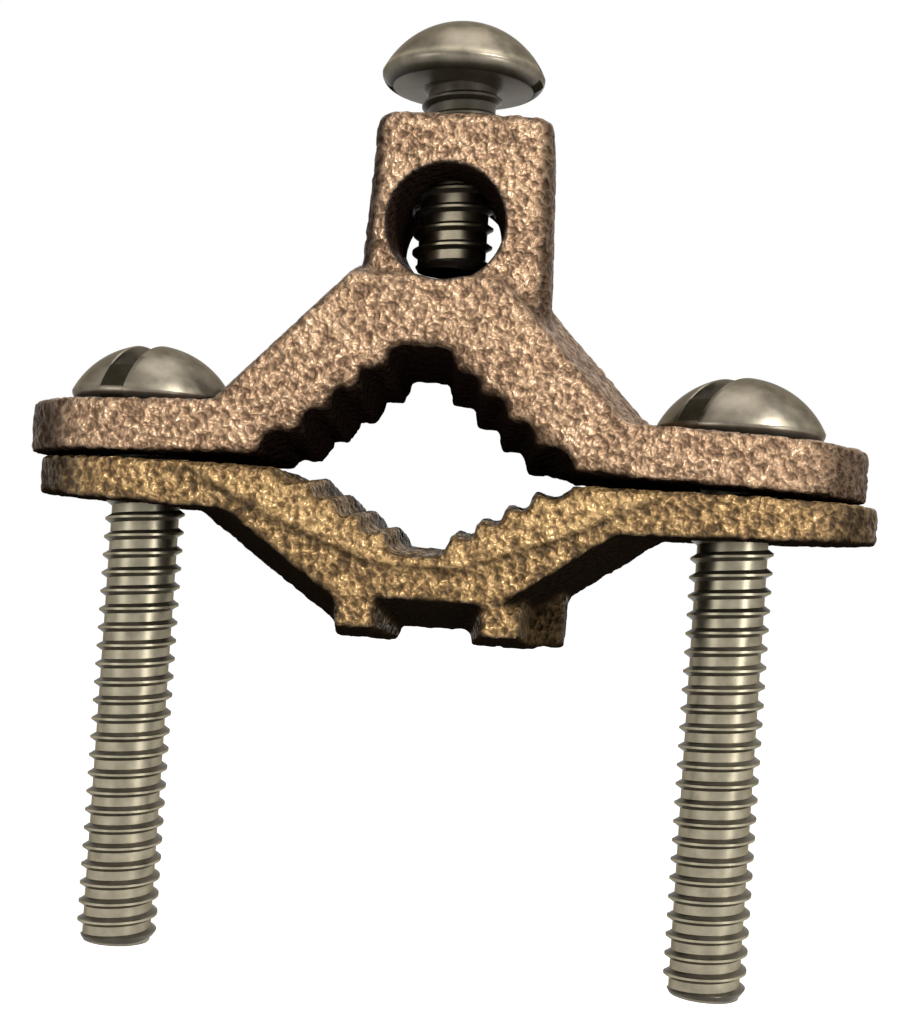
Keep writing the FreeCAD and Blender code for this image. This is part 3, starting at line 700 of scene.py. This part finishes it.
def plated_steel(name, crest):
    """Satin plated steel: a warm grey with faint blotches, brightened to the crest colour where the
    screw's painted light is high, and matt and dark, as painted shade, where it is low."""
    material = bpy.data.materials.new(name)
    material.use_nodes = True
    tree = material.node_tree
    shader = tree.nodes["Principled BSDF"]
    painted_shine = attribute(tree, "painted_shine")
    blotches = noise(tree, BLOTCH_SCALE, 4.0).outputs["Fac"]
    spotted = tree.nodes.new("ShaderNodeVectorMath")
    spotted.operation = "SCALE"
    colour = three_tones(tree, painted_shine, (0.0, STEEL_PAINTED_SHADE), (0.5, STEEL_DOME), (1.0, crest))
    tree.links.new(colour, spotted.inputs[0])
    shade = carried(tree, blotches, (0.3, 0.7), BLOTCH_SHADE)
    tree.links.new(shade, spotted.inputs["Scale"])
    tree.links.new(spotted.outputs["Vector"], shader.inputs["Base Color"])
    shader.inputs["Specular Tint"].default_value = (*STEEL_TINT, 1.0)
    metal = tree.nodes.new("ShaderNodeMath")
    metal.operation = "MULTIPLY"
    metal.use_clamp = True
    metal.inputs[1].default_value = GLOSS_RISE
    tree.links.new(painted_shine, metal.inputs[0])
    tree.links.new(metal.outputs[0], shader.inputs["Metallic"])
    tree.links.new(metal.outputs[0], shader.inputs["Specular IOR Level"])
    rough = carried(tree, blotches, (0.0, 1.0), BLOTCH_ROUGH)
    tree.links.new(rough, shader.inputs["Roughness"])
    return material


CLAMP_LENGTH = 0.0371
# The clamp screws' colour at full painted light: a painted highlight on the thread's crests.
CLAMP_PAINTED_HIGHLIGHT = (0.260, 0.234, 0.166)

clamp_steel = plated_steel("satin_plated_steel", CLAMP_PAINTED_HIGHLIGHT)
for name, side, turn in (("left", -1.0, np.radians(-16.0)), ("right", 1.0, np.radians(-44.0))):
    node = "clamp_screw_" + name
    screw = round_head_screw(node + "_turned", CLAMP_LENGTH, turn, side * SCREW_X, SEAT_Z)
    screw.data.materials.append(clamp_steel)
    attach(screw, node)
    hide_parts(node)


# ---------------------------------------------------------------------------------------------
# Terminal screw. The same screw, shorter, driven down the post until its tip presses on the
# wire. Its thread is painted brighter than the clamp screws': painted light that stands in for
# light on it inside the shaded hole.
# ---------------------------------------------------------------------------------------------
TERMINAL_LENGTH = 0.0127
TERMINAL_HEAD_Z = 0.0271
TERMINAL_TURN = np.radians(82.0)
# A brighter crest colour than the clamp screws': painted light on the thread in the shaded hole.
TERMINAL_PAINTED_LIGHT = (0.52, 0.45, 0.32)

terminal = round_head_screw(
    "terminal_screw_turned", TERMINAL_LENGTH, TERMINAL_TURN, 0.0, TERMINAL_HEAD_Z
)
terminal.data.materials.append(plated_steel("light_painted_plated_steel", TERMINAL_PAINTED_LIGHT))
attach(terminal, "terminal_screw")
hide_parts("terminal_screw")


# ---------------------------------------------------------------------------------------------
# Studio. A plain pale floor under the clamp, a small strong lamp high on the right, and weaker
# ones on the right, on the left and above. Floor and surroundings show plain white.
# ---------------------------------------------------------------------------------------------
FLOOR_Z = -0.0364
FLOOR_HALF = 1.5
FLOOR_GREY = 0.50
FLOOR_GLOW = 0.85
AMBIENT = 0.25


def show_white(tree, lit, white, output):
    """Ends a tree in the lit shader, and in the white one for the camera and for reflections."""
    path = tree.nodes.new("ShaderNodeLightPath")
    seen = path.outputs["Is Camera Ray"]
    for ray in ("Is Glossy Ray", "Is Transmission Ray"):
        either = tree.nodes.new("ShaderNodeMath")
        either.operation = "MAXIMUM"
        tree.links.new(seen, either.inputs[0])
        tree.links.new(path.outputs[ray], either.inputs[1])
        seen = either.outputs[0]
    mix = tree.nodes.new("ShaderNodeMixShader")
    tree.links.new(seen, mix.inputs["Fac"])
    tree.links.new(lit, mix.inputs[1])
    tree.links.new(white, mix.inputs[2])
    tree.links.new(mix.outputs[0], tree.nodes[output].inputs["Surface"])


world = bpy.data.worlds.new("studio")
world.use_nodes = True
tree = world.node_tree
ambient = tree.nodes["Background"]
ambient.inputs["Color"].default_value = (1.0, 1.0, 1.0, 1.0)
ambient.inputs["Strength"].default_value = AMBIENT
white = tree.nodes.new("ShaderNodeBackground")
white.inputs["Color"].default_value = (1.0, 1.0, 1.0, 1.0)
white.inputs["Strength"].default_value = 1.0
show_white(tree, ambient.outputs[0], white.outputs[0], "World Output")
scene.world = world

floor_corners = [
    (x * FLOOR_HALF, y * FLOOR_HALF, FLOOR_Z) for x, y in ((-1, -1), (1, -1), (1, 1), (-1, 1))
]
floor_mesh = bpy.data.meshes.new("floor")
floor_mesh.from_pydata(floor_corners, [], [(0, 1, 2, 3)])
floor = bpy.data.objects.new("floor", floor_mesh)
scene.collection.objects.link(floor)
pale = bpy.data.materials.new("pale_floor")
pale.use_nodes = True
tree = pale.node_tree
paint = tree.nodes["Principled BSDF"]
paint.inputs["Base Color"].default_value = (FLOOR_GREY, FLOOR_GREY, FLOOR_GREY, 1.0)
paint.inputs["Roughness"].default_value = 0.9
glow = tree.nodes.new("ShaderNodeEmission")
glow.inputs["Strength"].default_value = FLOOR_GLOW
bright = tree.nodes.new("ShaderNodeAddShader")
tree.links.new(paint.outputs[0], bright.inputs[0])
tree.links.new(glow.outputs[0], bright.inputs[1])
show_white(tree, paint.outputs[0], bright.outputs[0], "Material Output")
floor_mesh.materials.append(pale)

# Each lamp's name, place, size and power. All of them point at the origin.
LAMPS = (
    ("right", (0.26, -0.22, -0.01), 0.08, 0.35),
    ("key", (0.22, -0.20, 0.27), 0.07, 1.9),
    ("left", (-0.26, -0.26, 0.04), 0.16, 0.25),
    ("top", (0.0, 0.02, 0.34), 0.20, 0.3),
)
for name, place, size, power in LAMPS:
    lamp = bpy.data.lights.new(name, "AREA")
    lamp.shape = "SQUARE"
    lamp.size = size
    lamp.energy = power
    lamp_object = bpy.data.objects.new(name, lamp)
    lamp_object.location = place
    lamp_object.rotation_euler = (-Vector(place)).to_track_quat("-Z", "Y").to_euler()
    scene.collection.objects.link(lamp_object)

scene.view_settings.view_transform = "Standard"
